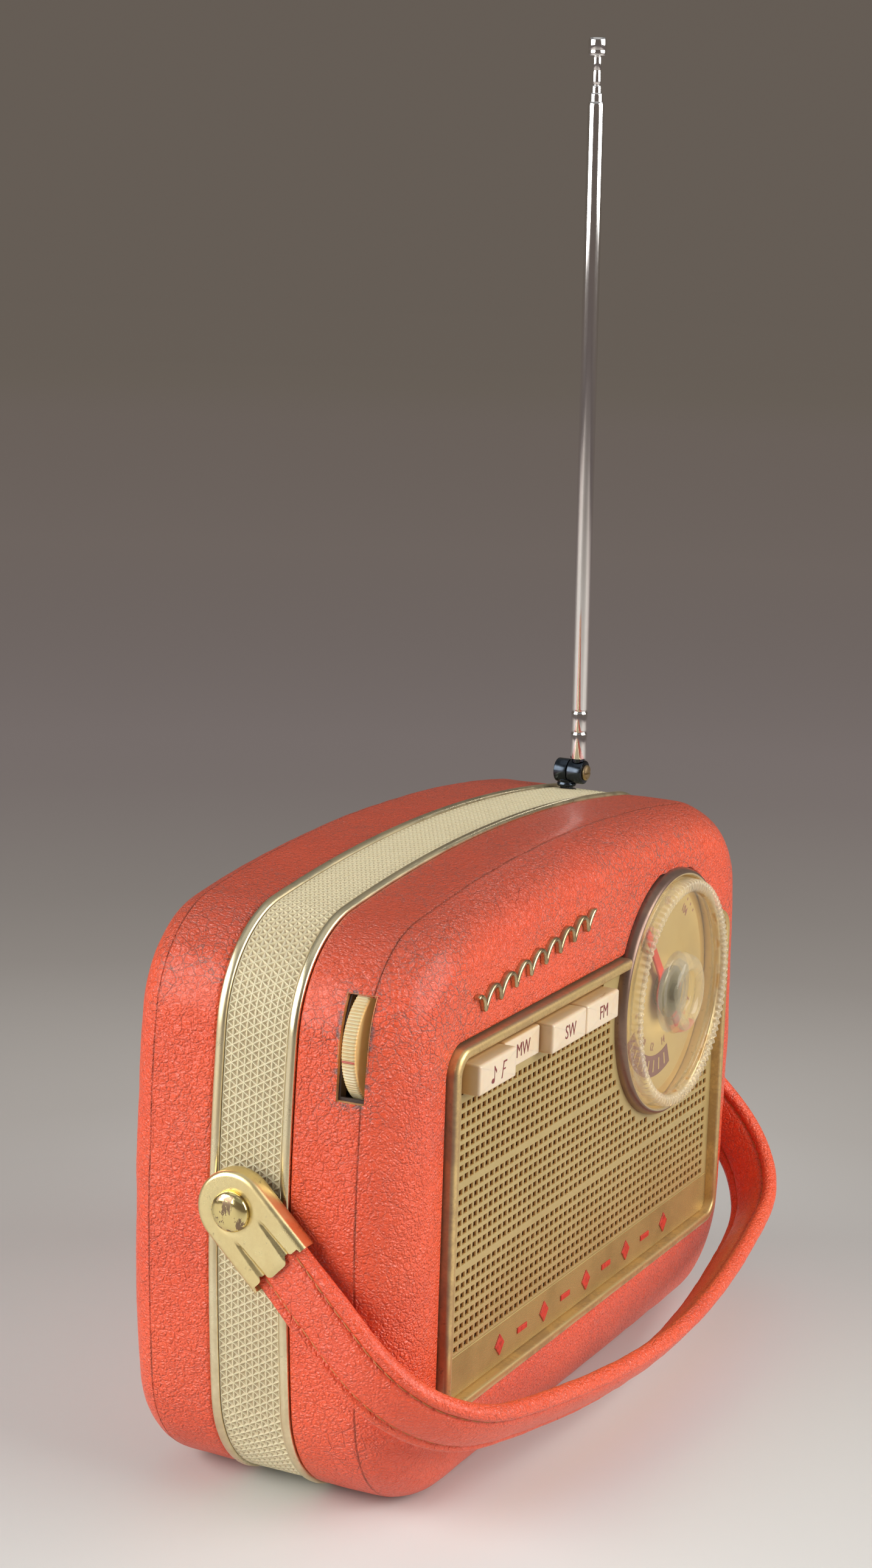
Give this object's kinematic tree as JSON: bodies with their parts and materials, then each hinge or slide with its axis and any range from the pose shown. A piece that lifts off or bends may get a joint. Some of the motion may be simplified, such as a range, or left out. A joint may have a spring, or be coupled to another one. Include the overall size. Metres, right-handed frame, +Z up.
{
  "type": "portable transistor radio",
  "caption": "Leather-covered portable radio with a swing strap handle, push keys, clear tuning dial, edge volume wheel and telescopic rod aerial.",
  "frame": {"origin": "bottom centre of the central band, on the resting face", "axes": "+X to the user's right when facing the grille, -Y out of the grille side, +Z up along the case"},
  "size_m": [0.2724, 0.1251, 0.4143],
  "materials": {
    "red_leather": "grained leatherette",
    "case_moulding": "moulded, dark",
    "cream_band": "embossed cream plastic",
    "gold_trim": "polished pale gold",
    "aged_brass": "aged brass",
    "grille_gold": "khaki gold lacquer",
    "speaker_cloth": "woven dark brown",
    "ribbed_brass": "fine ribbed brass",
    "ivory": "aged ivory",
    "switch_body": "phenolic",
    "bronze": "dark bronze",
    "scale_tan": "tan gold lacquer",
    "clear_acrylic": "clear moulded acrylic",
    "pointer_red": "red",
    "steel": "turned steel",
    "cord": "woven cord",
    "drum_plastic": "moulded",
    "aluminium": "pressed",
    "chrome": "polished",
    "black_chrome": "black nickel",
    "board_brown": "phenolic board",
    "paper_cone": "pressed paper fibre",
    "magnet": "sintered",
    "ferrite": "ferrite",
    "copper_wire": "wound enamelled wire",
    "cap_blue": "sleeved can",
    "battery_jacket": "printed steel jacket"
  },
  "bodies": {
    "case": {"front_leather": "red_leather", "front_case": "case_moulding", "centre_band": "cream_band", "front_trim": "gold_trim", "rear_trim": "gold_trim", "front_bezel": "aged_brass", "grille": "grille_gold", "grille_cloth": "speaker_cloth", "nameplate": "ribbed_brass", "front_ornament": "aged_brass", "key_switch": "switch_body", "dial_ring": "bronze", "dial_scale": "scale_tan", "tuning_bush": "aged_brass", "dial_cord": "cord", "tuning_capacitor": "aluminium", "volume_control": "steel", "handle_studs": "gold_trim", "handle_washers_nuts": "steel", "aerial_bush": "black_chrome", "circuit_board": "board_brown", "chassis_screws": "steel", "speaker_frame": "steel", "speaker_cone": "paper_cone", "speaker_magnet": "magnet", "ferrite_rod": "ferrite", "rod_coils": "copper_wire", "rod_clips": "drum_plastic", "if_cans": "aluminium", "audio_transformers": "magnet", "capacitors": "cap_blue", "transistors": "aluminium", "battery_box": "case_moulding", "batteries": "battery_jacket", "battery_springs": "steel"},
    "back_cover": {"back_leather": "red_leather", "back_case": "case_moulding", "back_cover_screws": "aged_brass"},
    "handle": {"handle_strap": "red_leather", "left_clip": "gold_trim", "right_clip": "gold_trim"},
    "tone_button": {"tone_key": "ivory"},
    "mw_button": {"mw_key": "ivory"},
    "sw_button": {"sw_key": "ivory"},
    "fm_button": {"fm_key": "ivory"},
    "tuning": {"tuning_knob": "clear_acrylic", "tuning_shaft": "steel", "dial_pointer": "pointer_red", "drive_drum": "drum_plastic"},
    "gang": {"capacitor_plates": "aluminium", "capacitor_drum": "drum_plastic"},
    "volume": {"volume_wheel": "ivory"},
    "aerial_base": {"aerial_swivel": "black_chrome", "aerial_pivot_screw": "aged_brass"},
    "aerial_arm": {"aerial_foot": "black_chrome", "aerial_tube": "chrome"},
    "aerial_inner_1": {"aerial_section_2": "chrome"},
    "aerial_inner_2": {"aerial_section_3": "chrome"},
    "aerial_tip": {"aerial_rod": "chrome", "aerial_cap": "chrome"}
  },
  "joints": [
    {"name": "handle_swing", "type": "hinge", "parent": "case", "child": "handle", "pos_m": [0, 0.0005, 0.0922], "axis": [-1, 0, 0], "range_deg": [0, 124]},
    {"name": "tone_press", "type": "slide", "parent": "case", "child": "tone_button", "axis": [0, 1, 0], "range_m": [0, 0.004]},
    {"name": "mw_release", "type": "slide", "parent": "case", "child": "mw_button", "axis": [0, 1, 0], "range_m": [-0.004, 0]},
    {"name": "sw_press", "type": "slide", "parent": "case", "child": "sw_button", "axis": [0, 1, 0], "range_m": [0, 0.004]},
    {"name": "fm_press", "type": "slide", "parent": "case", "child": "fm_button", "axis": [0, 1, 0], "range_m": [0, 0.004]},
    {"name": "tuning_turn", "type": "hinge", "parent": "case", "child": "tuning", "pos_m": [0.054, 0, 0.1183], "axis": [0, -1, 0], "range_deg": [-140, 140]},
    {"name": "gang_turn", "type": "hinge", "parent": "case", "child": "gang", "pos_m": [0.054, 0, 0.082], "axis": [0, -1, 0], "range_deg": [-84, 84]},
    {"name": "volume_turn", "type": "hinge", "parent": "case", "child": "volume", "pos_m": [-0.1085, 0, 0.1395], "axis": [0, -1, 0], "range_deg": [0, 270]},
    {"name": "aerial_turn", "type": "hinge", "parent": "case", "child": "aerial_base", "pos_m": [0.0897, 0.0059, 0.165], "axis": [0, 0, -1], "range_deg": [-90, 90]},
    {"name": "aerial_fold", "type": "hinge", "parent": "aerial_base", "child": "aerial_arm", "pos_m": [0.0897, 0.002, 0.1774], "axis": [0, -1, 0], "range_deg": [-5, 84]},
    {"name": "aerial_pull_1", "type": "slide", "parent": "aerial_arm", "child": "aerial_inner_1", "axis": [-0.0349, 0, 0.9994], "range_m": [0, 0.18]},
    {"name": "aerial_pull_2", "type": "slide", "parent": "aerial_inner_1", "child": "aerial_inner_2", "axis": [-0.0349, 0, 0.9994], "range_m": [0, 0.18]},
    {"name": "aerial_pull_3", "type": "slide", "parent": "aerial_inner_2", "child": "aerial_tip", "axis": [-0.0349, 0, 0.9994], "range_m": [0, 0.18]},
    {"name": "back_cover_off", "type": "slide", "parent": "case", "child": "back_cover", "axis": [0, 1, 0], "range_m": [0, 0.08]}
  ],
  "couplings": [
    {"joint": "gang_turn", "follows": "tuning_turn", "ratio": 0.6}
  ]
}
